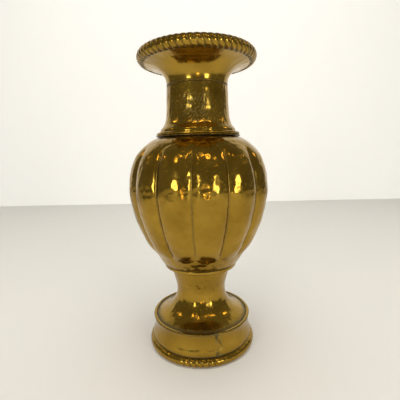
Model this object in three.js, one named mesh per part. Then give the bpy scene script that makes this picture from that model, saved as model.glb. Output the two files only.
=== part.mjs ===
import * as THREE from "three";

// A footed brass vase with thirteen lobes, in millimetres, +Z up. It stands on z = 0 round the Z axis.
// Azimuth 0 is the front (-Y), and azimuths grow towards +X. Outlines are points (radius, height).

// Shared values
const SEGMENTS = 32; // flats round a turned piece
const GAP = 0.3; // solder gap between neighbours
const BEAD_STEP = 30; // degrees between the corners of a bead's section

// Foot bead, a rolled tube that is open towards the inside of the foot
const FOOT_R = 83;
const FOOT_TUBE = 7.6;
const FOOT_WALL = 1.3;
const FOOT_SLOT_FROM = 135; // degrees, counted from outwards over the top
const FOOT_SLOT_TO = 225;

// Base wall, a hollowed band on the foot bead, with its top edge turned in over the skirt
const BASE_R = 84.8;
const BASE_HOLLOW = 3.4; // how far the band is drawn in at its waist
const BASE_HEIGHT = 35.5; // from the foot bead to the rolled shoulder
const BASE_WALL = 1.4;
const HEM_R = 1.9; // radius of the rolled shoulder
const HEM_LAP = 4; // how far the hem reaches in over the skirt

// Pedestal, a skirt and a waisted stem in one sheet
const SKIRT_RISE = 45; // from the skirt's edge to the narrowest place of the stem
const STEM_R = 41.4;
const STEM_TOP_R = 51;
const STEM_HEIGHT = 41.4; // from the narrowest place to the top
const PEDESTAL_WALL = 1.5;

// Bottom ring, a flat band between pedestal and bowl
const RING_R = 61.1;
const RING_HOLE_R = 48;
const RING_HEIGHT = 6;
const RING_EDGE = 0.8;

// Bowl
const BOWL_FLAT_R = 60;
const BOWL_CUP_R = 65;
const BELLY_R = 114;
const BELLY_RISE = 127; // from the bowl's bottom to its widest place
const BOWL_HEIGHT = 207.2;
const BOWL_MOUTH_R = 58;
const BOWL_WALL = 1.4;
const BOWL_CURVE_STEPS = 15;

// Lobes
const LOBES = 13;
const LOBE_STEPS = 4; // flats round one lobe
const LOBE_DEPTH = 4.6;
const LOBE_ROUNDNESS = 3.5; // higher is a fuller lobe with a narrower groove
const GROOVE_AZIMUTH = -5.5; // degrees
const LOBE_TOP_DROP = 13; // from the bowl's mouth down to the arches
const LOBE_FOOT_RISE = 18; // from the bowl's bottom up to the lobes' round ends
const ARCH_RISE = 16; // height of a lobe's round end

// Neck, with a flange that stands on the bowl
const NECK_FLANGE_R = 68;
const NECK_FOOT_R = 60.9;
const NECK_R = 50.4;
const NECK_TOP_R = 48.5;
const NECK_HEIGHT = 76.8;
const NECK_FLARE = 34; // height of the flared foot
const NECK_WALL = 1.2;

// Collar wire on the neck's flange
const COLLAR_R = 65;
const COLLAR_WIRE = 2.6;

// Lip, with a spigot inside the neck
const SPIGOT_LENGTH = 8;
const LIP_HEIGHT = 32.3; // from the neck's top to the start of the rim seat
const LIP_SEAT_R = 75; // where the flat rim seat starts
const LIP_SEAT_SLOPE = 11.3; // degrees
const LIP_WALL = 1.2;

// Rim bead, a rolled tube that is open where the lip's edge closes it
const RIM_R = 84.2;
const RIM_TUBE = 9.2;
const RIM_WALL = 1.2;
const RIM_FROM = -45; // degrees, counted from outwards over the top
const RIM_TO = 240;
const RIM_EDGE_INSET = 1.2; // from the bead's outer end in to the lip's edge

const rad = THREE.MathUtils.degToRad;
const point = (r, z) => new THREE.Vector2(r, z);

// Heights that follow from the sizes, from the ground up
const BEAD_FLAT = Math.cos(rad(BEAD_STEP / 2)); // a bead's flats lie this share of its radius from its centre
const FOOT_Z = FOOT_TUBE * BEAD_FLAT;
const BASE_Z = FOOT_Z + FOOT_TUBE * BEAD_FLAT + GAP;
const HEM_Z = BASE_Z + BASE_HEIGHT;
const SKIRT_Z = HEM_Z + HEM_R - BASE_WALL - GAP;
const WAIST_Z = SKIRT_Z + SKIRT_RISE;
const STEM_TOP_Z = WAIST_Z + STEM_HEIGHT;
const RING_Z = STEM_TOP_Z + GAP;
const BOWL_Z = RING_Z + RING_HEIGHT + GAP;
const BOWL_TOP_Z = BOWL_Z + BOWL_HEIGHT;
const FLANGE_Z = BOWL_TOP_Z + GAP + NECK_WALL;
const NECK_TOP_Z = FLANGE_Z + NECK_HEIGHT - NECK_WALL;
const SEAT_Z = NECK_TOP_Z + LIP_HEIGHT;

// A smooth line through the given points.
function smooth(points, steps) {
  return new THREE.SplineCurve(points).getPoints(steps);
}

// A round line about a centre, from one angle to another in degrees, with equal steps near BEAD_STEP.
function arc(r, z, radius, from, to, step = BEAD_STEP) {
  const count = Math.max(2, Math.round((to - from) / step));
  return Array.from({ length: count + 1 }, (_, i) => {
    const angle = rad(from + ((to - from) * i) / count);
    return point(r + radius * Math.cos(angle), z + radius * Math.sin(angle));
  });
}

// The closed outline of a bent sheet: its outer line, then the same line moved in by the wall.
function sheet(line, wall) {
  const inner = line.map((p, i) => {
    const before = line[Math.max(i - 1, 0)];
    const after = line[Math.min(i + 1, line.length - 1)];
    const along = after.clone().sub(before).normalize();
    return point(p.x - along.y * wall, p.y + along.x * wall);
  });
  const outline = [...line, ...inner.reverse()];
  return line[0].x === 0 ? outline : [...outline, line[0].clone()];
}

// One piece, turned round the Z axis from its outline.
function turned(name, outline, colour, segments = SEGMENTS, start = 0) {
  const geometry = new THREE.LatheGeometry(outline, segments, start).rotateX(Math.PI / 2);
  const material = new THREE.MeshStandardMaterial({ color: colour, metalness: 1, roughness: 0.3 });
  const mesh = new THREE.Mesh(geometry, material);
  mesh.name = name;
  return mesh;
}

function footRope() {
  const from = FOOT_SLOT_TO - 360;
  return turned("foot_rope", sheet(arc(FOOT_R, FOOT_Z, FOOT_TUBE, from, FOOT_SLOT_FROM), FOOT_WALL), 0x9a7a34);
}

function baseWall() {
  const waist = point(BASE_R - BASE_HOLLOW, (BASE_Z + HEM_Z) / 2);
  const shoulder = BASE_R - HEM_R;
  const edge = point(BASE_R, BASE_Z);
  const band = smooth([point(BASE_R, BASE_Z + BASE_WALL), waist, point(BASE_R, HEM_Z)], 4);
  const hem = arc(shoulder, HEM_Z, HEM_R, 0, 90).slice(1);
  const lap = point(shoulder - HEM_LAP, HEM_Z + HEM_R);
  return turned("base_wall", sheet([edge, ...band, ...hem, lap], BASE_WALL), 0x96762f);
}

// The skirt runs in under the hem of the base wall, and its curve passes into the waisted stem.
function pedestal() {
  const edge = BASE_R - HEM_R - BASE_WALL - GAP;
  const lap = point(edge, SKIRT_Z);
  const skirtStart = point(BASE_R - HEM_R - HEM_LAP - GAP, SKIRT_Z);
  const skirt = new THREE.CubicBezierCurve(
    skirtStart,
    point(skirtStart.x - 0.55 * (skirtStart.x - STEM_R), SKIRT_Z + 0.12 * SKIRT_RISE),
    point(STEM_R, WAIST_Z - 0.5 * SKIRT_RISE),
    point(STEM_R, WAIST_Z),
  ).getPoints(6);
  const stem = smooth(
    [
      point(STEM_R, WAIST_Z),
      point(STEM_R + 0.25 * (STEM_TOP_R - STEM_R), WAIST_Z + 0.36 * STEM_HEIGHT),
      point(STEM_TOP_R, STEM_TOP_Z - PEDESTAL_WALL),
    ],
    4,
  ).slice(1);
  const flange = [point(STEM_TOP_R + 1, STEM_TOP_Z), point(RING_HOLE_R + PEDESTAL_WALL, STEM_TOP_Z)];
  return turned("pedestal", sheet([lap, ...skirt, ...stem, ...flange], PEDESTAL_WALL), 0x8f7030);
}

function bottomRing() {
  const top = RING_Z + RING_HEIGHT;
  const outline = [
    point(RING_HOLE_R, RING_Z),
    point(RING_R - RING_EDGE, RING_Z),
    point(RING_R, RING_Z + RING_EDGE),
    point(RING_R, top - RING_EDGE),
    point(RING_R - RING_EDGE, top),
    point(RING_HOLE_R, top),
    point(RING_HOLE_R, RING_Z),
  ];
  return turned("bottom_ring", outline, 0x9a7a34);
}

// 0 below the first height, 1 above the second, with a soft start and end.
const ramp = (from, to, z) => THREE.MathUtils.smoothstep(z, from, to);

// How deep the surface lies behind the lobes' crests. u is 0 on a crest and 1 in a groove. Between
// the grooves' ends it is a power of u, and past a lobe's round end it passes into the plain bowl.
function grooveDepth(u, z) {
  const round = ARCH_RISE * (1 - Math.sqrt(Math.max(0, 1 - u * u)));
  const top = BOWL_TOP_Z - LOBE_TOP_DROP;
  const foot = BOWL_Z + LOBE_FOOT_RISE;
  const beyondTop = ramp(top - round - 3, top - round + 3, z);
  const beyondFoot = 1 - ramp(foot + round - 3, foot + round + 3, z);
  const fade = ramp(foot - 4, foot + ARCH_RISE, z) * (1 - ramp(top - ARCH_RISE, top + 4, z));
  return LOBE_DEPTH * fade * Math.max(u ** LOBE_ROUNDNESS, beyondTop, beyondFoot);
}

function pressLobes(geometry) {
  const at = geometry.getAttribute("position");
  const pitch = (2 * Math.PI) / LOBES;
  for (let i = 0; i < at.count; i++) {
    const radius = Math.hypot(at.getX(i), at.getY(i));
    if (radius < BOWL_MOUTH_R - BOWL_WALL) continue;
    const azimuth = Math.atan2(at.getX(i), -at.getY(i)) - rad(GROOVE_AZIMUTH);
    const turn = azimuth / pitch - Math.floor(azimuth / pitch);
    const scale = 1 - grooveDepth(Math.abs(2 * turn - 1), at.getZ(i)) / radius;
    at.setXY(i, at.getX(i) * scale, at.getY(i) * scale);
  }
  geometry.computeVertexNormals();
}

function body() {
  const side = smooth(
    [
      point(BOWL_CUP_R, BOWL_Z + 2.8),
      point(BOWL_CUP_R + 0.43 * (BELLY_R - BOWL_CUP_R), BOWL_Z + 0.256 * BELLY_RISE),
      point(BELLY_R - 0.167 * (BELLY_R - BOWL_CUP_R), BOWL_Z + 0.606 * BELLY_RISE),
      point(BELLY_R, BOWL_Z + BELLY_RISE),
      point(BELLY_R - 0.13 * (BELLY_R - BOWL_MOUTH_R), BOWL_TOP_Z - 0.51 * (BOWL_HEIGHT - BELLY_RISE)),
      point(BELLY_R - 0.532 * (BELLY_R - BOWL_MOUTH_R), BOWL_TOP_Z - 0.14 * (BOWL_HEIGHT - BELLY_RISE)),
      point(BELLY_R - 0.86 * (BELLY_R - BOWL_MOUTH_R), BOWL_TOP_Z - 0.7),
    ],
    BOWL_CURVE_STEPS,
  );
  const bottom = [point(0, BOWL_Z), point(BOWL_FLAT_R, BOWL_Z)];
  const line = [...bottom, ...side, point(BOWL_MOUTH_R, BOWL_TOP_Z)];
  const outline = sheet(line, BOWL_WALL);
  const mesh = turned("body", outline, 0x8a6a28, LOBES * LOBE_STEPS, rad(GROOVE_AZIMUTH));
  pressLobes(mesh.geometry);
  return mesh;
}

function neck() {
  const flange = [point(NECK_FLANGE_R, FLANGE_Z), point(NECK_FOOT_R + 1, FLANGE_Z)];
  const tube = smooth(
    [
      point(NECK_FOOT_R, FLANGE_Z + 1.5),
      point(NECK_R + 0.45 * (NECK_FOOT_R - NECK_R), FLANGE_Z + 0.49 * NECK_FLARE),
      point(NECK_R, FLANGE_Z + NECK_FLARE),
      point(NECK_TOP_R, NECK_TOP_Z),
    ],
    6,
  );
  return turned("neck", sheet([...flange, ...tube], NECK_WALL), 0x85662a);
}

function collarRing() {
  const z = FLANGE_Z + GAP + COLLAR_WIRE * Math.cos(rad(22.5));
  return turned("collar_ring", arc(COLLAR_R, z, COLLAR_WIRE, 22.5, 382.5, 45), 0x9a7a34);
}

// Height of the lip's underside at a radius on the rim seat.
const seatHeight = (r) => SEAT_Z + (r - LIP_SEAT_R) * Math.tan(rad(LIP_SEAT_SLOPE));

function lip() {
  const spigot = NECK_TOP_R - NECK_WALL - GAP;
  const edge = RIM_R + RIM_TUBE * Math.cos(rad(RIM_FROM)) - RIM_EDGE_INSET;
  const joint = NECK_TOP_Z + GAP;
  const step = NECK_TOP_R - spigot;
  const flare = smooth(
    [
      point(NECK_TOP_R, joint + step),
      point(NECK_TOP_R + 0.072 * (LIP_SEAT_R - NECK_TOP_R), NECK_TOP_Z + 0.415 * LIP_HEIGHT),
      point(NECK_TOP_R + 0.47 * (LIP_SEAT_R - NECK_TOP_R), NECK_TOP_Z + 0.805 * LIP_HEIGHT),
      point(LIP_SEAT_R, SEAT_Z),
    ],
    6,
  );
  const line = [point(spigot, NECK_TOP_Z - SPIGOT_LENGTH), point(spigot, joint), ...flare, point(edge, seatHeight(edge))];
  return turned("lip", sheet(line, LIP_WALL), 0x96762f);
}

// The bead's inner end stands on the rim seat.
function rimRope() {
  const end = RIM_R + RIM_TUBE * Math.cos(rad(RIM_TO));
  const seat = seatHeight(end) + LIP_WALL / Math.cos(rad(LIP_SEAT_SLOPE)) + GAP;
  const z = seat - RIM_TUBE * Math.sin(rad(RIM_TO));
  return turned("rim_rope", sheet(arc(RIM_R, z, RIM_TUBE, RIM_FROM, RIM_TO), RIM_WALL), 0x9a7a34);
}

const vase = new THREE.Group();
vase.add(footRope(), baseWall(), pedestal(), bottomRing(), body(), neck(), collarRing(), lip(), rimRope());

export default vase;
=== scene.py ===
import math

import bpy
import numpy as np
from bpy.props import FloatProperty, FloatVectorProperty, IntProperty, PointerProperty
from mathutils import Matrix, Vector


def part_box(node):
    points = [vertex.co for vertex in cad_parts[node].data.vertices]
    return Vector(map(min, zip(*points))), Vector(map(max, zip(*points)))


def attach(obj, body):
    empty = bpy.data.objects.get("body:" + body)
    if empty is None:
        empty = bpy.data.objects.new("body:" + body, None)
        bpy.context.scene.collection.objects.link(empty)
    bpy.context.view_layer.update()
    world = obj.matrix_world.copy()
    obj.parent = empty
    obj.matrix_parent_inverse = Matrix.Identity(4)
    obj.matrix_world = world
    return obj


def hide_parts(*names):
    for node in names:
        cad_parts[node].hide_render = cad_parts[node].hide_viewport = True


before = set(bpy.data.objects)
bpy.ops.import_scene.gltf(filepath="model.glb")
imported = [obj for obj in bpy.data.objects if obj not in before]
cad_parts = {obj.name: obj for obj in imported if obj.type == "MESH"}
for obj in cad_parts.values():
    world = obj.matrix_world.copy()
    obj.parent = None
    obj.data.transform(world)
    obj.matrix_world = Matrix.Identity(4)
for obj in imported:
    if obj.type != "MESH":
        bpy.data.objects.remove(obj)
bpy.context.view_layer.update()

bl_info = {
    "name": "Lobed Brass Vase",
    "version": (1, 0, 0),
    "blender": (4, 5, 0),
    "location": "View3D > Sidebar > Vase",
    "description": "Builds a footed brass vase with lobes and rope beads, and its studio",
    "category": "Add Mesh",
}

MM = 0.001

# Thickness of each sheet
BASE_SHEET = 1.3 * MM
PEDESTAL_SHEET = 1.4 * MM
BOWL_SHEET = 1.4 * MM
NECK_SHEET = 1.2 * MM
LIP_SHEET = 1.2 * MM

# Sizes at the joints. The skirt's upper face starts SKIRT_EDGE over the pedestal's lowest place
JOINT_GAP = 0.3 * MM
HEM_RADIUS = 1.9 * MM
SKIRT_EDGE = 1.5 * MM
COLLAR_RADIUS = 65 * MM

# How far a lobe's round end reaches from its crest to the grooves
ARCH_DEPTH = 17 * MM

# Places of the brazed seams, in degrees from the front
BASE_SEAM = 16
NECK_SEAM = 11

# Soft random relief: how many sines it has, and the radius at which their length is true
WAVE_COUNT = 14
WAVE_RADIUS = 0.09

# How suddenly a chased line opens in a rope bead, lower is narrower
CHASING_SHARPNESS = 0.55

# The photo's viewpoint, in metres and degrees, and its lens in millimetres
CAMERA_PLACE = (0.00106, -0.5065, 0.3246)
CAMERA_DOWN = 8.7355
CAMERA_ROLL = -1.131
CAMERA_LENS = 27.37
CAMERA_SENSOR = 36.0

# Studio: what the floor and the backdrop show of their own light, the room, and the small lamps
FLOOR_GLOW = 0.10
BACKDROP_GLOW = 0.42
ROOM_COLOUR = (0.21, 0.20, 0.16, 1.0)
WINDOW_COLOUR = (1, 1, 0.94)
WARM_LAMPS = [
    (-0.9, -1.3, 2.0),
    (-0.3, -1.1, 2.1),
    (0.35, -1.2, 2.0),
    (1.0, -1.0, 1.8),
    (-1.7, 0.1, 1.5),
    (1.8, 0.3, 1.5),
    (0.1, -2.2, 0.15),
]


def top(node):
    """Height of a node's top, in metres."""
    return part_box(node)[1][2]


def bottom(node):
    """Height of a node's lowest place, in metres."""
    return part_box(node)[0][2]


class VaseSizes(bpy.types.PropertyGroup):
    """Sizes of the vase that the frame's boxes don't give."""

    lobes: IntProperty(name="Lobes", description="Number of lobes round the bowl", default=13, min=3)
    groove_azimuth: FloatProperty(
        name="Groove azimuth", description="Place of one groove, from the front",
        default=math.radians(-5.5), subtype="ANGLE")
    lobe_depth: FloatProperty(
        name="Lobe depth", description="Depth of a groove between two lobes",
        default=6.4 * MM, subtype="DISTANCE")
    rim_strands: IntProperty(name="Rim strands", description="Strands of the rim's rope", default=60, min=3)
    foot_strands: IntProperty(
        name="Foot strands", description="Strands of the foot's rope", default=58, min=3)
    rope_twist: IntProperty(
        name="Rope twist", description="Strands that one turn of the section passes", default=2)
    rim_radius: FloatProperty(
        name="Rim radius", description="Middle of the rim's bead", default=84.2 * MM, subtype="DISTANCE")
    rim_tube: FloatProperty(
        name="Rim tube", description="Radius of the rim's bead", default=9.2 * MM, subtype="DISTANCE")
    foot_radius: FloatProperty(
        name="Foot radius", description="Middle of the foot's bead", default=83.0 * MM, subtype="DISTANCE")
    foot_tube: FloatProperty(
        name="Foot tube", description="Radius of the foot's bead", default=7.6 * MM, subtype="DISTANCE")
    hammer_mark: FloatProperty(
        name="Hammer mark", description="Width of one planishing mark",
        default=9.0 * MM, subtype="DISTANCE")


class VaseColours(bpy.types.PropertyGroup):
    """Colours of the brass and of the studio."""

    bright: FloatVectorProperty(
        name="Bright brass", description="Polished metal", subtype="COLOR", size=3,
        default=(0.40, 0.245, 0.035))
    tarnished: FloatVectorProperty(
        name="Tarnished brass", description="Metal that has darkened", subtype="COLOR", size=3,
        default=(0.23, 0.132, 0.014))
    # Dark colour of the grime, also used for painted shade at the collar and under the rim bead.
    grime_and_shade: FloatVectorProperty(
        name="Grime_and_shade", description="Dirt in grooves and joints", subtype="COLOR", size=3,
        default=(0.035, 0.024, 0.008))
    verdigris: FloatVectorProperty(
        name="Verdigris", description="Green bloom beside solder", subtype="COLOR", size=3,
        default=(0.16, 0.17, 0.10))
    solder: FloatVectorProperty(
        name="Solder", description="Pale brazing metal in the neck's seam", subtype="COLOR", size=3,
        default=(0.78, 0.62, 0.3))
    floor: FloatVectorProperty(
        name="Floor", description="Floor and backdrop", subtype="COLOR", size=3, default=(0.86, 0.86, 0.85))
    warm: FloatVectorProperty(
        name="Warm lamp", description="Light of the small lamps", subtype="COLOR", size=3,
        default=(1.0, 0.72, 0.36))


def smooth_line(points, count):
    """A line of count points through the given ones. Between two points it is the cubic whose ends have
    the slope of the chord of their neighbours, and the points are then spread evenly along it."""
    p = np.asarray(points, float)
    p = np.vstack([2 * p[0] - p[1], p, 2 * p[-1] - p[-2]])
    t = np.linspace(0, 1, 24, endpoint=False)[None, :, None]
    a, b, c, d = (p[k:len(p) - 3 + k, None, :] for k in range(4))
    square, cube = 2 * a - 5 * b + 4 * c - d, 3 * b - a - 3 * c + d
    cubic = 0.5 * (2 * b + (c - a) * t + square * t**2 + cube * t**3)
    return even_line(np.vstack([cubic.reshape(-1, 2), p[-2]]), count)


def even_line(points, count):
    """The same line with count points, evenly spaced along it."""
    p = np.asarray(points, float)
    way = np.r_[0, np.cumsum(np.hypot(*np.diff(p, axis=0).T))]
    at = np.linspace(0, way[-1], count)
    return np.stack([np.interp(at, way, p[:, 0]), np.interp(at, way, p[:, 1])], axis=1)


def arc(r, z, radius, start, end, count):
    """Points on a circle about (r, z), at equal angles from start to end in degrees."""
    angle = np.radians(np.linspace(start, end, count))
    return np.stack([r + radius * np.cos(angle), z + radius * np.sin(angle)], axis=1)


def bent_sheet(line, wall, inner_count=None):
    """A closed section: the line, and then the same line in the other direction, moved by the wall along
    its normal, to its left."""
    along = np.gradient(line, axis=0)
    along /= np.hypot(along[:, 0], along[:, 1])[:, None]
    inner = line + wall * np.stack([-along[:, 1], along[:, 0]], axis=1)
    if inner_count:
        inner = even_line(inner, inner_count)
    return np.vstack([line, inner[::-1]])


def waves(azimuth, height, size, seed):
    """A soft random relief, mostly between -1 and 1. It is the sum of sin(n * azimuth + k * height + p) over
    random directions, divided by half their number. Its wavelength is near size, and n is whole, so that
    it closes round the piece."""
    rng = np.random.default_rng(seed)
    total = np.zeros(np.broadcast(azimuth, height).shape)
    for _ in range(WAVE_COUNT):
        direction = rng.uniform(0, math.pi)
        stretch = rng.uniform(0.7, 1.5)
        round_count = np.round(2 * math.pi * WAVE_RADIUS / (size * stretch) * math.cos(direction))
        up = 2 * math.pi / (size * stretch) * math.sin(direction)
        total += np.sin(round_count * azimuth + up * height + rng.uniform(0, 2 * math.pi))
    return total / (WAVE_COUNT / 2)


def ramp(low, high, x):
    """0 under low, 1 over high, and 3t^2 - 2t^3 between."""
    t = np.clip((x - low) / (high - low), 0, 1)
    return t * t * (3 - 2 * t)


def near(x, middle, width):
    """A bell of that width, exp(-((x - middle) / width)^2), which is 1 at the middle."""
    return np.exp(-((x - middle) / width) ** 2)


def angle_from(azimuth, place):
    """Azimuth in radians from -pi to pi, counted from a place that is given in degrees."""
    return (azimuth - math.radians(place) + math.pi) % (2 * math.pi) - math.pi


def azimuths(count, start=0.0):
    """Equal azimuths round the vase as a row."""
    return start + np.linspace(0, 2 * math.pi, count, endpoint=False)[None, :]


def turned_mesh(name, radius, height, azimuth, masks=None, poles=False):
    """Puts a surface into a mesh. Row i and column j is the point at radius[i, j], height[i, j] and
    azimuth[j]. Columns close round the axis. Rows close on each other, or with poles the first and the
    last row are points on the axis."""
    rows, columns = np.broadcast(radius, azimuth).shape
    radius = np.broadcast_to(radius, (rows, columns))
    height = np.broadcast_to(height, (rows, columns))
    points = np.stack([radius * np.sin(azimuth), -radius * np.cos(azimuth), height], axis=2).reshape(-1, 3)
    i, j = np.meshgrid(np.arange(rows - poles), np.arange(columns), indexing="ij")
    k, m = (i + 1) % rows, (j + 1) % columns
    quads = np.stack([i * columns + j, i * columns + m, k * columns + m, k * columns + j], axis=2)
    if poles:
        last = rows - 1
        quads = quads[1:-1].reshape(-1, 4)
        j = np.arange(columns)
        m = (j + 1) % columns
        low = np.stack([0 * j, columns + m, columns + j], axis=1)
        ring = (last - 1) * columns
        high = np.stack([ring + j, ring + m, 0 * j + last * columns], axis=1)
        used = np.unique(np.concatenate([quads.ravel(), low.ravel(), high.ravel()]))
        new = np.zeros(rows * columns, int)
        new[used] = np.arange(len(used))
        faces = new[quads].tolist() + new[low].tolist() + new[high].tolist()
    else:
        faces = quads.reshape(-1, 4).tolist()
        used = np.arange(rows * columns)
    mesh = bpy.data.meshes.new(name)
    mesh.from_pydata(points[used].tolist(), [], faces)
    for mask in ("grime_and_shade", "verdigris", "seam"):
        values = (masks or {}).get(mask, 0.0)
        values = np.broadcast_to(values, (rows, columns)).reshape(-1)[used]
        layer = mesh.attributes.new(mask, "FLOAT", "POINT")
        layer.data.foreach_set("value", np.clip(values, 0, 1).astype(np.float32))
    mesh.shade_smooth()
    mesh.update()
    piece = bpy.data.objects.new(name, mesh)
    bpy.context.scene.collection.objects.link(piece)
    return piece


def settle(piece, node, material):
    """Gives a piece its material and its body, and hides the node that it stands for."""
    piece.data.materials.append(material)
    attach(piece, "root")
    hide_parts(node)


def new_group(name, inputs, outputs):
    """An empty node group with float or colour sockets, and its input and output nodes."""
    group = bpy.data.node_groups.new(name, "ShaderNodeTree")
    for label, kind, default in inputs:
        socket = group.interface.new_socket(label, in_out="INPUT", socket_type="NodeSocket" + kind)
        socket.default_value = default
    for label, kind in outputs:
        group.interface.new_socket(label, in_out="OUTPUT", socket_type="NodeSocket" + kind)
    return group, group.nodes.new("NodeGroupInput"), group.nodes.new("NodeGroupOutput")


def link(tree, source, target):
    """Joins two sockets."""
    tree.links.new(source, target)


def math_node(tree, kind, a, b=0.0, clamp=False):
    """A Math node whose inputs are sockets or numbers. Returns its output."""
    node = tree.nodes.new("ShaderNodeMath")
    node.operation = kind
    node.use_clamp = clamp
    for slot_index, value in enumerate((a, b)):
        if hasattr(value, "is_linked"):
            link(tree, value, node.inputs[slot_index])
        else:
            node.inputs[slot_index].default_value = value
    return node.outputs[0]


def mix_colour(tree, factor, a, b):
    """A colour mix whose factor and colours are sockets or values. Returns its output."""
    node = tree.nodes.new("ShaderNodeMix")
    node.data_type = "RGBA"
    for value, socket in ((factor, node.inputs[0]), (a, node.inputs[6]), (b, node.inputs[7])):
        if hasattr(value, "is_linked"):
            link(tree, value, socket)
        else:
            socket.default_value = value
    return node.outputs[2]


def noise(tree, vector, scale, detail=3.0, roughness=0.55):
    """A noise texture's value, from 0 to 1."""
    node = tree.nodes.new("ShaderNodeTexNoise")
    node.inputs["Scale"].default_value = scale
    node.inputs["Detail"].default_value = detail
    node.inputs["Roughness"].default_value = roughness
    link(tree, vector, node.inputs["Vector"])
    return node.outputs["Fac"]


def remap(tree, value, low, high, out_low=0.0, out_high=1.0):
    """A value moved from one range to another, and held within it."""
    node = tree.nodes.new("ShaderNodeMapRange")
    for name, number in (("From Min", low), ("From Max", high), ("To Min", out_low), ("To Max", out_high)):
        node.inputs[name].default_value = number
    link(tree, value, node.inputs["Value"])
    return node.outputs["Result"]


def planishing_group(mark):
    """Node group: overlapping hammer marks of width mark, softly dished, with pits. Puts out a height."""
    group, inside, outside = new_group(
        "Planishing", [("Marks", "Float", 1.0), ("Pits", "Float", 1.0)], [("Height", "Float")])
    place = group.nodes.new("ShaderNodeTexCoord").outputs["Object"]
    cells = group.nodes.new("ShaderNodeTexVoronoi")
    cells.feature = "SMOOTH_F1"
    cells.inputs["Scale"].default_value = 1 / mark
    cells.inputs["Smoothness"].default_value = 0.35
    link(group, place, cells.inputs["Vector"])
    dish = math_node(group, "MULTIPLY", cells.outputs["Distance"], inside.outputs["Marks"])
    swell = math_node(group, "MULTIPLY", noise(group, place, 45.0, 2.0), inside.outputs["Marks"])
    pits = remap(group, noise(group, place, 420.0, 2.0, 0.7), 0.66, 0.76, 0.0, -0.5)
    relief = math_node(group, "ADD", dish, math_node(group, "MULTIPLY", swell, 0.8))
    height = math_node(group, "ADD", relief, math_node(group, "MULTIPLY", pits, inside.outputs["Pits"]))
    link(group, height, outside.inputs["Height"])
    return group


def patina_group(colours):
    """Node group: brass colour, roughness and metalness from the masks of grime with painted shade,
    verdigris and seam, with soft clouds of tarnish and fine rubbed lines over the whole surface."""
    def rgba(colour):
        return (*colour, 1.0)

    group, inside, outside = new_group(
        "BrassPatina",
        [
            ("Tarnish", "Float", 0.4),
            ("Grime_and_shade", "Float", 0.0),
            ("Verdigris", "Float", 0.0),
            ("Seam", "Float", 0.0),
        ],
        [("Colour", "Color"), ("Roughness", "Float"), ("Metallic", "Float")])
    place = group.nodes.new("ShaderNodeTexCoord").outputs["Object"]
    cloud = noise(group, place, 28.0, 5.0)
    speck = noise(group, place, 230.0, 4.0, 0.65)
    stain = math_node(group, "MULTIPLY", remap(group, cloud, 0.38, 0.68), inside.outputs["Tarnish"])
    colour = mix_colour(group, stain, rgba(colours.bright), rgba(colours.tarnished))
    uneven = remap(group, speck, 0.3, 0.55, 0.55, 1.25)
    # Grime, with the painted shade that the same mask carries at the collar and under the rim bead.
    ragged = math_node(group, "MULTIPLY", inside.outputs["Grime_and_shade"], uneven)
    dirt_and_shade = math_node(group, "ADD", ragged, 0.0, clamp=True)
    colour = mix_colour(group, dirt_and_shade, colour, rgba(colours.grime_and_shade))
    bloom = math_node(group, "MULTIPLY", inside.outputs["Verdigris"], remap(group, speck, 0.4, 0.6))
    colour = mix_colour(group, bloom, colour, rgba(colours.verdigris))
    colour = mix_colour(group, inside.outputs["Seam"], colour, rgba(colours.solder))
    link(group, colour, outside.inputs["Colour"])
    dull = math_node(group, "MULTIPLY", dirt_and_shade, 0.35)
    dull = math_node(group, "ADD", dull, math_node(group, "MULTIPLY", bloom, 0.4))
    rubbed = remap(group, noise(group, place, 90.0, 6.0, 0.7), 0.3, 0.75, 0.10, 0.24)
    link(group, math_node(group, "ADD", rubbed, dull, clamp=True), outside.inputs["Roughness"])
    bare = math_node(group, "SUBTRACT", 1.0, math_node(group, "MULTIPLY", bloom, 0.7))
    bare = math_node(group, "SUBTRACT", bare, math_node(group, "MULTIPLY", dirt_and_shade, 0.25))
    link(group, bare, outside.inputs["Metallic"])
    return group


def brass(name, tarnish, marks, pits, depth):
    """A brass material. Tarnish, marks and pits weigh the shared groups, and depth is the bump's depth."""
    material = bpy.data.materials.new(name)
    material.use_nodes = True
    tree = material.node_tree
    shader = tree.nodes["Principled BSDF"]
    patina = tree.nodes.new("ShaderNodeGroup")
    patina.node_tree = bpy.data.node_groups["BrassPatina"]
    patina.inputs["Tarnish"].default_value = tarnish
    for mask in ("Grime_and_shade", "Verdigris", "Seam"):
        layer = tree.nodes.new("ShaderNodeAttribute")
        layer.attribute_name = mask.lower()
        link(tree, layer.outputs["Fac"], patina.inputs[mask])
    relief = tree.nodes.new("ShaderNodeGroup")
    relief.node_tree = bpy.data.node_groups["Planishing"]
    relief.inputs["Marks"].default_value = marks
    relief.inputs["Pits"].default_value = pits
    bump = tree.nodes.new("ShaderNodeBump")
    bump.inputs["Strength"].default_value = 1.0
    bump.inputs["Distance"].default_value = depth
    link(tree, relief.outputs["Height"], bump.inputs["Height"])
    link(tree, bump.outputs["Normal"], shader.inputs["Normal"])
    link(tree, patina.outputs["Colour"], shader.inputs["Base Color"])
    link(tree, patina.outputs["Roughness"], shader.inputs["Roughness"])
    link(tree, patina.outputs["Metallic"], shader.inputs["Metallic"])
    return material


class VASE_OT_finishes(bpy.types.Operator):
    """Makes the shared effects and the brass of each piece"""

    bl_idname = "vase.finishes"
    bl_label = "Brass finishes"

    def execute(self, context):
        scene = context.scene
        planishing_group(scene.vase_sizes.hammer_mark)
        patina_group(scene.vase_colours)
        brass("BowlBrass", tarnish=0.75, marks=1.0, pits=0.6, depth=0.50 * MM)
        brass("NeckBrass", tarnish=0.85, marks=0.9, pits=1.4, depth=0.42 * MM)
        brass("LipBrass", tarnish=0.45, marks=0.6, pits=1.4, depth=0.34 * MM)
        brass("FootBrass", tarnish=0.55, marks=0.7, pits=1.2, depth=0.34 * MM)
        brass("BeadBrass", tarnish=0.6, marks=0.25, pits=1.2, depth=0.12 * MM)
        return {"FINISHED"}


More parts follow.
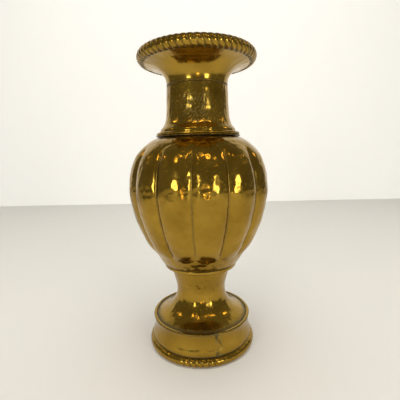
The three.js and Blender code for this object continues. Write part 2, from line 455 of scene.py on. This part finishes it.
def rope(name, radius, height, tube, strands, twist, depth, floor_height=None, wear=None):
    """A bead chased as a rope. At section angle a and azimuth f the tube's radius is drawn in by
    depth * (1 - |sin((strands * f + twist * a) / 2)|^CHASING_SHARPNESS), so a line lies wherever
    strands * f + twist * a passes a whole turn. wear, a function of azimuth, weighs the depth."""
    azimuth = azimuths(strands * 16)
    a = np.linspace(0, 2 * math.pi, 56, endpoint=False)[:, None]
    phase = (strands * azimuth + twist * a) / 2
    line = 1 - np.abs(np.sin(phase)) ** CHASING_SHARPNESS
    cut = depth * np.ones_like(azimuth) if wear is None else depth * wear(azimuth)
    tube_here = tube - cut * line + 0.00012 * waves(azimuth, a * tube, 0.012, 5)
    r = radius + tube_here * np.cos(a)
    z = height + tube_here * np.sin(a)
    if floor_height is not None:
        z = np.maximum(z, floor_height)
    grime_and_shade = line**1.6 * np.clip(cut / 0.0009, 0, 1) * 0.9
    # Painted shade: a dark band round the underside of a bead that hangs free, the rim's. The foot's bead
    # rests on the floor and has none. The darkening in the chased lines above is grime.
    grime_and_shade = grime_and_shade + 0.5 * near(a, 1.5 * math.pi, 0.5) * (floor_height is None)
    return turned_mesh(name, r, z, azimuth, {"grime_and_shade": grime_and_shade})


class VASE_OT_foot(bpy.types.Operator):
    """Makes the foot's rope bead and the base wall with its brazed seam"""

    bl_idname = "vase.foot"
    bl_label = "Foot"

    def execute(self, context):
        sizes = context.scene.vase_sizes
        tube = sizes.foot_tube
        middle = (bottom("foot_rope") + top("foot_rope")) / 2

        def worn(azimuth):
            """The chasing is deep at the front and nearly rubbed away elsewhere."""
            turn = np.degrees(angle_from(azimuth, 0))
            front = ramp(-24, -14, turn) * (1 - ramp(12, 14, turn))
            return 0.22 + 0.78 * front

        bead = rope("foot_rope_chased", sizes.foot_radius, middle, tube, sizes.foot_strands,
                    sizes.rope_twist, 0.0011, bottom("foot_rope"), worn)
        settle(bead, "foot_rope", bpy.data.materials["BeadBrass"])
        wall_bottom, wall_top = bottom("base_wall"), top("base_wall")
        rise = wall_top - wall_bottom
        # Radius in millimetres and share of the wall's rise
        outline = np.array([(84.9, 0.0), (84.8, 0.18), (82.7, 0.38), (81.4, 0.57), (81.5, 0.76),
                            (83.0, 0.93)])
        outline = np.stack([outline[:, 0] * MM, wall_bottom + outline[:, 1] * rise], axis=1)
        band = smooth_line(outline, 46)
        roll = arc(band[-1, 0] - 1.7 * MM, wall_top - HEM_RADIUS, HEM_RADIUS, 12, 90, 10)
        lap = np.array([(78.9 * MM, wall_top)])
        lap = even_line(np.vstack([roll[-1:], lap]), 5)[1:]
        section = bent_sheet(np.vstack([band, roll, lap]), BASE_SHEET)
        azimuth = azimuths(720)
        r, z = section[:, :1], section[:, 1:]
        share = (z - wall_bottom) / rise
        turn = angle_from(azimuth, BASE_SEAM)
        wander = 0.012 * np.sin(share * 17) + 0.006 * np.sin(share * 41 + 1)
        seam = near(turn, wander, 0.010) + 0.8 * near(turn, 0.075 + 0.6 * wander, 0.008)
        dents = 0.00025 * waves(azimuth, z, 0.030, 11) - 0.0003 * near(turn, wander, 0.012)
        edge_low, edge_high = near(share, 0.0, 0.05), near(share, 0.96, 0.03)
        blotch = ramp(0.1, 0.9, waves(azimuth, z, 0.016, 12))
        masks = {
            "grime_and_shade": 0.75 * edge_low + 0.45 * edge_high + 0.7 * near(turn, 0.03, 0.09) * blotch,
            "verdigris": 0.9 * seam + 0.55 * edge_low + 0.4 * edge_high,
        }
        wall = turned_mesh("base_wall_sheet", r + dents, z, azimuth, masks)
        settle(wall, "base_wall", bpy.data.materials["FootBrass"])
        return {"FINISHED"}


class VASE_OT_pedestal(bpy.types.Operator):
    """Makes the waisted pedestal and the flat ring over it"""

    bl_idname = "vase.pedestal"
    bl_label = "Pedestal"

    def execute(self, context):
        start = bottom("pedestal") + SKIRT_EDGE
        end = top("pedestal")
        outline = [(81.0, start / MM), (77.5, start / MM + 0.8), (68.9, 55.0), (60.0, 60.1), (52.4, 66.7),
                   (46.6, 74.7), (42.8, 84.2), (41.4, 95.0), (42.3, 103.5), (45.8, 118.1), (50.0, 132.7),
                   (51.2, end / MM)]
        line = smooth_line(np.array(outline) * MM, 110)
        flange = even_line([line[-1], (49.5 * MM, end)], 4)[1:]
        section = bent_sheet(np.vstack([line, flange]), PEDESTAL_SHEET, 60)
        azimuth = azimuths(540)
        r, z = section[:, :1], section[:, 1:]
        relief = 0.00022 * waves(azimuth, z, 0.022, 21) * ramp(start, start + 0.006, z)
        masks = {"grime_and_shade": 0.8 * near(z, end, 0.0022) + 0.8 * near(z, start, 0.0022),
                 "verdigris": 0.5 * near(z, start, 0.003)}
        piece = turned_mesh("pedestal_sheet", r + relief, z, azimuth, masks)
        settle(piece, "pedestal", bpy.data.materials["FootBrass"])
        low, high = bottom("bottom_ring"), top("bottom_ring")
        band = [(48.0, low / MM), (60.0, low / MM), (60.9, low / MM + 0.8), (61.1, low / MM + 3.0),
                (60.9, high / MM - 0.8), (60.0, high / MM), (48.0, high / MM), (48.0, low / MM + 3.0)]
        section = even_line(np.array(band + band[:1]) * MM, 49)[:-1]
        r, z = section[:, :1], section[:, 1:]
        relief = 0.00018 * waves(azimuth, z, 0.018, 23)
        masks = {"grime_and_shade": 0.7 * near(z, low, 0.0008) + 0.6 * near(z, high, 0.0008),
                 "verdigris": 0.5 * near(z, high, 0.0012)}
        ring = turned_mesh("bottom_ring_band", r + relief, z, azimuth, masks)
        settle(ring, "bottom_ring", bpy.data.materials["BeadBrass"])
        return {"FINISHED"}


def groove(u, z, low, high, depth):
    """How far the bowl lies behind the lobes' crests, and how near a place is to a groove's bottom. u is 0
    on a crest and 1 in a groove. Across a lobe the surface falls by depth * (0.8 u^2 + 0.2 u^9). Its ends
    are arches, ARCH_DEPTH * (1 - sqrt(1 - u^2)) deep, and past them the surface passes into the plain
    bowl."""
    arch = ARCH_DEPTH * (1 - np.sqrt(np.clip(1 - u * u, 0, 1)))
    crest_top, crest_foot = high - 12.5 * MM, low + 18 * MM
    beyond = np.maximum(ramp(-1.6 * MM, 1.6 * MM, z - (crest_top - arch)),
                        ramp(-1.6 * MM, 1.6 * MM, (crest_foot + 0.8 * arch) - z))
    fade_top = 1 - ramp(crest_top - 20 * MM, crest_top + 6 * MM, z)
    fade = ramp(crest_foot - 3 * MM, crest_foot + 16 * MM, z) * fade_top
    valley = u**12
    shape = 0.8 * u**2 + 0.2 * u**9
    return depth * fade * np.maximum(shape, beyond * 0.8), fade * valley


class VASE_OT_bowl(bpy.types.Operator):
    """Makes the bowl with its lobes"""

    bl_idname = "vase.bowl"
    bl_label = "Bowl"

    def execute(self, context):
        sizes = context.scene.vase_sizes
        low, high = bottom("body"), top("body")
        outline = [(62.0, 0.2), (65.0, 2.8), (74.3, 17.7), (86.3, 32.6), (93.8, 47.4), (105.8, 77.1),
                   (112.4, 106.8), (114.0, 127.0), (111.2, 151.4), (106.6, 166.3), (99.3, 181.1),
                   (84.2, 196.0), (70.0, 204.4), (58.0, 207.2)]
        line = smooth_line(np.array(outline) * MM + (0, low), 150)
        base = even_line([(0.0, low), line[0]], 8)[:-1]
        section = bent_sheet(np.vstack([base, line]), BOWL_SHEET, 34)
        section[-1, 0] = 0.0
        columns = 36 * sizes.lobes
        azimuth = azimuths(columns, sizes.groove_azimuth)
        turn = (azimuth - sizes.groove_azimuth) * sizes.lobes / (2 * math.pi)
        u = np.abs(2 * (turn - np.floor(turn)) - 1)
        r, z = section[:, :1], section[:, 1:]
        pressed, valley = groove(u, z, low, high, sizes.lobe_depth)
        side = ramp(58 * MM, 63 * MM, r)
        planished = 0.00036 * waves(azimuth, z, 0.022, 31) + 0.00014 * waves(azimuth, z, 0.009, 32)
        # Grime in the grooves and at the joint to the pedestal. The dark band at the top, under the neck's
        # flange, is grime with painted shade.
        grime_and_shade = 0.4 * valley**3 + 0.2 * near(z, high, 0.0025) + 0.6 * near(z, low + 0.001, 0.002)
        masks = {"grime_and_shade": grime_and_shade, "verdigris": 0.35 * near(z, high, 0.004) + 0.2 * valley**3}
        r = r - side * (pressed - planished)
        piece = turned_mesh("lobed_bowl", r, z, azimuth, masks, poles=True)
        settle(piece, "body", bpy.data.materials["BowlBrass"])
        return {"FINISHED"}


class VASE_OT_neck(bpy.types.Operator):
    """Makes the neck with its seam and the collar wire at its foot"""

    bl_idname = "vase.neck"
    bl_label = "Neck"

    def execute(self, context):
        flange_top = bottom("neck") + NECK_SHEET
        end = top("neck")
        outline = np.array([(60.9, 1.4), (60.6, 9.0), (55.1, 16.6), (52.3, 23.9), (50.8, 31.1),
                            (49.8, 45.6), (49.3, 60.0)]) * MM + (0, flange_top)
        outline = np.vstack([outline, [(48.5 * MM, end)]])
        flange = even_line([(68 * MM, flange_top), (61.6 * MM, flange_top)], 8)
        section = bent_sheet(np.vstack([flange, smooth_line(outline, 90)]), NECK_SHEET, 50)
        azimuth = azimuths(720)
        r, z = section[:, :1], section[:, 1:]
        turn = angle_from(azimuth, NECK_SEAM)
        on_tube = ramp(flange_top + 0.004, flange_top + 0.012, z)
        seam = near(turn, 0.004 * np.sin(z * 300), 0.0065) * on_tube
        dots = seam * (0.45 + 0.55 * np.sin(z * 2 * math.pi / 0.0028))
        relief = 0.00018 * waves(azimuth, z, 0.016, 41) + 0.00022 * seam
        share = (z - flange_top) / (end - flange_top)
        patch = near(angle_from(azimuth, -3), 0, 0.45)
        patch = patch * ramp(0.15, 0.3, share) * (1 - ramp(0.7, 0.85, share))
        patch = patch * ramp(-0.7, 0.5, waves(azimuth, z, 0.006, 42))
        # Dark at the joint to the lip, which is grime. Also dark at the flange under the collar wire, which
        # is grime with painted shade of the gap.
        masks = {"grime_and_shade": 0.7 * near(z, end, 0.0012) + 0.15 * near(z, flange_top, 0.0018),
                 "verdigris": 0.5 * near(z, flange_top, 0.003) + 0.55 * patch, "seam": 0.6 * dots}
        piece = turned_mesh("neck_sheet", r + relief, z, azimuth, masks)
        settle(piece, "neck", bpy.data.materials["NeckBrass"])
        low, high = bottom("collar_ring"), top("collar_ring")
        wire = (high - low) / 2
        a = np.linspace(0, 2 * math.pi, 24, endpoint=False)[:, None]
        uneven = 0.0002 * waves(azimuth, a * wire, 0.02, 43)
        r = COLLAR_RADIUS + (wire + uneven) * np.cos(a)
        z = (low + high) / 2 + wire * np.sin(a)
        # Dark on the wire's underside and inner side: grime, with painted shade of the gap where the wire
        # sits on the bowl against the neck.
        masks = {"grime_and_shade": 0.15 * near(a, 1.4 * math.pi, 0.5) + 0.35 * near(a, math.pi, 0.6),
                 "verdigris": 0.7 * ramp(0.2, 1.0, waves(azimuth, z, 0.05, 44))}
        ring = turned_mesh("collar_wire", r, z, azimuth, masks)
        settle(ring, "collar_ring", bpy.data.materials["BeadBrass"])
        return {"FINISHED"}


class VASE_OT_mouth(bpy.types.Operator):
    """Makes the flared lip and the rope bead of the rim"""

    bl_idname = "vase.mouth"
    bl_label = "Mouth"

    def execute(self, context):
        sizes = context.scene.vase_sizes
        low = bottom("lip")
        joint = top("neck")
        spigot = even_line([(47.0 * MM, low), (47.0 * MM, joint + JOINT_GAP)], 6)
        outline = [(48.5, 1.8), (48.6, 6.0), (50.4, 13.4), (55.1, 20.6), (61.0, 26.0), (67.0, 29.6),
                   (75.0, 32.3), (89.5, 35.2)]
        flare = smooth_line(np.array(outline) * MM + (0, joint), 90)
        section = bent_sheet(np.vstack([spigot, flare]), LIP_SHEET, 60)
        azimuth = azimuths(640)
        r, z = section[:, :1], section[:, 1:]
        edge = ramp(80 * MM, 89 * MM, r)
        relief = 0.00022 * waves(azimuth, r, 0.022, 51) * ramp(joint + 0.004, joint + 0.012, z)
        masks = {"grime_and_shade": 0.8 * near(z, joint + 0.0014, 0.0014) + 0.6 * edge,
                 "verdigris": 0.5 * edge * ramp(0, 1, waves(azimuth, r, 0.03, 52))}
        piece = turned_mesh("lip_sheet", r, z + relief, azimuth, masks)
        settle(piece, "lip", bpy.data.materials["LipBrass"])
        tube = sizes.rim_tube
        bead = rope("rim_rope_chased", sizes.rim_radius, top("rim_rope") - tube, tube, sizes.rim_strands,
                    sizes.rope_twist, 0.0012)
        settle(bead, "rim_rope", bpy.data.materials["BeadBrass"])
        return {"FINISHED"}


def plain_material(name, colour, glow):
    """A matt material for the stage. Its glow is seen by the camera, mirrored by metal and seen through
    glass, and lights no matt surface."""
    material = bpy.data.materials.new(name)
    material.use_nodes = True
    shader = material.node_tree.nodes["Principled BSDF"]
    shader.inputs["Base Color"].default_value = (*colour, 1.0)
    shader.inputs["Roughness"].default_value = 0.9
    shader.inputs["Emission Color"].default_value = (*colour, 1.0)
    tree = material.node_tree
    rays = tree.nodes.new("ShaderNodeLightPath").outputs
    seen = math_node(tree, "MAXIMUM", rays["Is Camera Ray"], rays["Is Glossy Ray"])
    seen = math_node(tree, "MAXIMUM", seen, rays["Is Transmission Ray"])
    link(tree, math_node(tree, "MULTIPLY", seen, glow), shader.inputs["Emission Strength"])
    return material


def stage_sheet(name, points, material):
    """A flat stage piece from its corners."""
    mesh = bpy.data.meshes.new(name)
    mesh.from_pydata(points, [], [list(range(len(points)))])
    mesh.materials.append(material)
    sheet = bpy.data.objects.new(name, mesh)
    bpy.context.scene.collection.objects.link(sheet)


def aim(thing, target):
    """Turns a lamp so that it shines from its place towards the target."""
    way = np.array(target) - np.array(thing.location)
    thing.rotation_euler = (math.atan2(math.hypot(way[0], way[1]), -way[2]), 0, math.atan2(-way[0], way[1]))


def lamp(name, place, target, width, height, watts, colour, shown=True):
    """A soft rectangular lamp. One that isn't shown lights the scene and doesn't mirror in metal."""
    light = bpy.data.lights.new(name, "AREA")
    light.shape = "RECTANGLE"
    light.size, light.size_y = width, height
    light.energy = watts
    light.color = colour
    thing = bpy.data.objects.new(name, light)
    thing.location = place
    aim(thing, target)
    thing.visible_glossy = shown
    bpy.context.scene.collection.objects.link(thing)


class VASE_OT_stage(bpy.types.Operator):
    """Makes the floor, the backdrop, the lamps and the camera"""

    bl_idname = "vase.stage"
    bl_label = "Stage"

    def execute(self, context):
        scene = context.scene
        colours = scene.vase_colours
        pale = plain_material("PaleFloor", colours.floor, FLOOR_GLOW)
        far = plain_material("PaleBackdrop", colours.floor, BACKDROP_GLOW)
        stage_sheet("floor", [(-4, -4, 0), (4, -4, 0), (4, 4, 0), (-4, 4, 0)], pale)
        stage_sheet("backdrop", [(-2.6, 1.5, 0), (2.6, 1.5, 0), (2.6, 1.5, 3), (-2.6, 1.5, 3)], far)
        world = bpy.data.worlds.new("Room")
        scene.world = world
        world.use_nodes = True
        world.node_tree.nodes["Background"].inputs["Color"].default_value = ROOM_COLOUR
        middle = (0, 0, 0.27)
        lamp("ceiling", (0, -0.2, 2.3), (0, 0, 0), 2.0, 2.0, 30, (1, 0.98, 0.95), shown=False)
        lamp("window_left", (-1.15, -2.1, 0.55), middle, 0.42, 0.62, 7, WINDOW_COLOUR)
        lamp("window_right", (1.35, -1.9, 0.50), middle, 0.42, 0.62, 7, WINDOW_COLOUR)
        for k, place in enumerate(WARM_LAMPS):
            lamp(f"warm_{k}", place, middle, 0.16, 0.16, 1.1, colours.warm)
        scene.view_settings.view_transform = "Standard"
        place_camera(scene)
        return {"FINISHED"}


def place_camera(scene):
    """The photo's viewpoint, half a metre in front and 0.32 m up, looking 8.7 degrees down with a slight
    roll."""
    data = bpy.data.cameras.new("camera")
    data.sensor_fit = "HORIZONTAL"
    data.sensor_width = CAMERA_SENSOR
    data.lens = CAMERA_LENS
    camera = bpy.data.objects.new("camera", data)
    roll, pitch = math.radians(CAMERA_ROLL), math.radians(CAMERA_DOWN)
    turn = Matrix.Rotation(math.pi / 2 - pitch, 4, "X") @ Matrix.Rotation(roll, 4, "Z")
    camera.matrix_world = Matrix.Translation(CAMERA_PLACE) @ turn
    scene.collection.objects.link(camera)
    scene.camera = camera


class VASE_PT_panel(bpy.types.Panel):
    """Lists the vase's sizes, colours and steps"""

    bl_idname = "VASE_PT_panel"
    bl_label = "Brass vase"
    bl_space_type = "VIEW_3D"
    bl_region_type = "UI"
    bl_category = "Vase"

    def draw(self, context):
        for group in (context.scene.vase_sizes, context.scene.vase_colours):
            for name in group.__annotations__:
                self.layout.prop(group, name)
        for step in STEPS:
            self.layout.operator(step.bl_idname)


STEPS = (
    VASE_OT_stage,
    VASE_OT_finishes,
    VASE_OT_foot,
    VASE_OT_pedestal,
    VASE_OT_bowl,
    VASE_OT_neck,
    VASE_OT_mouth,
)
CLASSES = (VaseSizes, VaseColours, *STEPS, VASE_PT_panel)


def register():
    for cls in CLASSES:
        bpy.utils.register_class(cls)
    bpy.types.Scene.vase_sizes = PointerProperty(type=VaseSizes)
    bpy.types.Scene.vase_colours = PointerProperty(type=VaseColours)


def unregister():
    del bpy.types.Scene.vase_colours
    del bpy.types.Scene.vase_sizes
    for cls in reversed(CLASSES):
        bpy.utils.unregister_class(cls)


def main():
    """Registers the classes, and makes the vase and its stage."""
    register()
    bpy.ops.vase.stage()
    bpy.ops.vase.finishes()
    bpy.ops.vase.foot()
    bpy.ops.vase.pedestal()
    bpy.ops.vase.bowl()
    bpy.ops.vase.neck()
    bpy.ops.vase.mouth()


if __name__ == "__main__":
    main()
